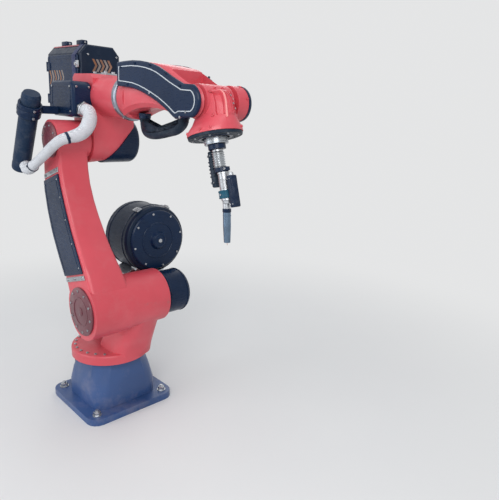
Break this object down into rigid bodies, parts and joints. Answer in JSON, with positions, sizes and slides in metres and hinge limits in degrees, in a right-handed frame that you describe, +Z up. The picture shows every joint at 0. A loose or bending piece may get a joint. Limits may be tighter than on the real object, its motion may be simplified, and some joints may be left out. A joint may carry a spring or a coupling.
{
  "type": "industrial robot arm",
  "caption": "Red arc-welding robot arm on a blue pedestal, with black side covers, wire feeder, spool housing, hoses and a slim gas-shielded welding torch.",
  "frame": {"origin": "middle of the base flange's underside, on the vertical turning axis", "axes": "+Z up along the turning axis, +X the way the arm reaches at rest, +Y the side of the shoulder motor"},
  "size_m": [1.1262, 0.571, 1.3894],
  "materials": {
    "arm_red": "satin paint, worn at the edges",
    "cap_red": "dark red satin paint",
    "base_blue": "blue satin paint, dusty",
    "cover_black": "black moulded plastic, low sheen",
    "feeder_black": "black powder coat",
    "hose_black": "black rubber",
    "hose_wrap": "pale woven sleeve",
    "bright_steel": "brushed",
    "ring_grey": "machined",
    "tool_chrome": "polished",
    "sleeve_teal": "teal moulded plastic",
    "nozzle_metal": "heat-darkened",
    "tip_copper": "copper"
  },
  "bodies": {
    "base": {"base_flange": "base_blue", "base_pedestal": "base_blue", "connector_panel": "cover_black"},
    "turret": {"turret_casting": "arm_red", "base_motor_cover": "cover_black", "shoulder_motor_cover": "cover_black", "spool_housing": "feeder_black", "spool_lid": "cover_black", "spool_cradle": "bright_steel"},
    "lower_arm": {"lower_arm_casting": "arm_red", "lower_arm_cover": "cover_black", "cover_strap_lower": "bright_steel", "cover_strap_upper": "bright_steel", "hip_cover": "cap_red", "knee_cap": "cap_red"},
    "elbow": {"elbow_casting": "arm_red", "elbow_ring": "ring_grey", "knee_motor_cover": "cover_black", "elbow_side_cover": "cover_black", "feeder_bracket": "bright_steel", "feeder_housing": "feeder_black", "feeder_door": "cover_black", "feeder_catch_front": "cover_black", "feeder_catch_rear": "cover_black", "rear_conduit": "hose_black", "conduit_clamp": "cover_black", "hose_gland": "bright_steel", "wrapped_hose": "hose_wrap"},
    "forearm": {"forearm_casting": "arm_red", "forearm_cover_right": "cover_black", "forearm_cover_left": "cover_black", "wrist_end_housing": "arm_red", "loop_gland_rear": "cover_black", "loop_gland_front": "cover_black", "forearm_hose": "hose_black"},
    "wrist": {"wrist_casting": "arm_red", "bell_ring": "cover_black"},
    "tool": {"torch_mount": "tool_chrome", "torch_collar": "cover_black", "torch_stem": "bright_steel", "torch_side_body": "hose_black", "torch_clamp": "cover_black", "torch_barrel": "bright_steel", "torch_sleeve": "sleeve_teal", "torch_sensor": "cover_black", "torch_neck": "bright_steel", "gas_nozzle": "nozzle_metal", "contact_tip": "tip_copper"}
  },
  "joints": [
    {"name": "base_turn", "type": "hinge", "parent": "base", "child": "turret", "pos_m": [0, 0, 0.2], "axis": [0, 0, 1], "range_deg": [-165, 165]},
    {"name": "shoulder", "type": "hinge", "parent": "turret", "child": "lower_arm", "pos_m": [0.15, 0, 0.45], "axis": [0, 1, 0], "range_deg": [-40, 70]},
    {"name": "elbow", "type": "hinge", "parent": "lower_arm", "child": "elbow", "pos_m": [-0.02041, 0, 1.02529], "axis": [0, -1, 0], "range_deg": [-50, 90]},
    {"name": "forearm_roll", "type": "hinge", "parent": "elbow", "child": "forearm", "pos_m": [-0.01316, 0, 1.17912], "axis": [0.9989, 0, -0.0471], "range_deg": [-170, 170]},
    {"name": "wrist_bend", "type": "hinge", "parent": "forearm", "child": "wrist", "pos_m": [0.62014, 0, 1.14925], "axis": [0, -1, 0], "range_deg": [-29, 166]},
    {"name": "tool_turn", "type": "hinge", "parent": "wrist", "child": "tool", "pos_m": [0.64188, 0, 1.06398], "axis": [0.247, 0, -0.969], "range_deg": [-180, 180]}
  ]
}
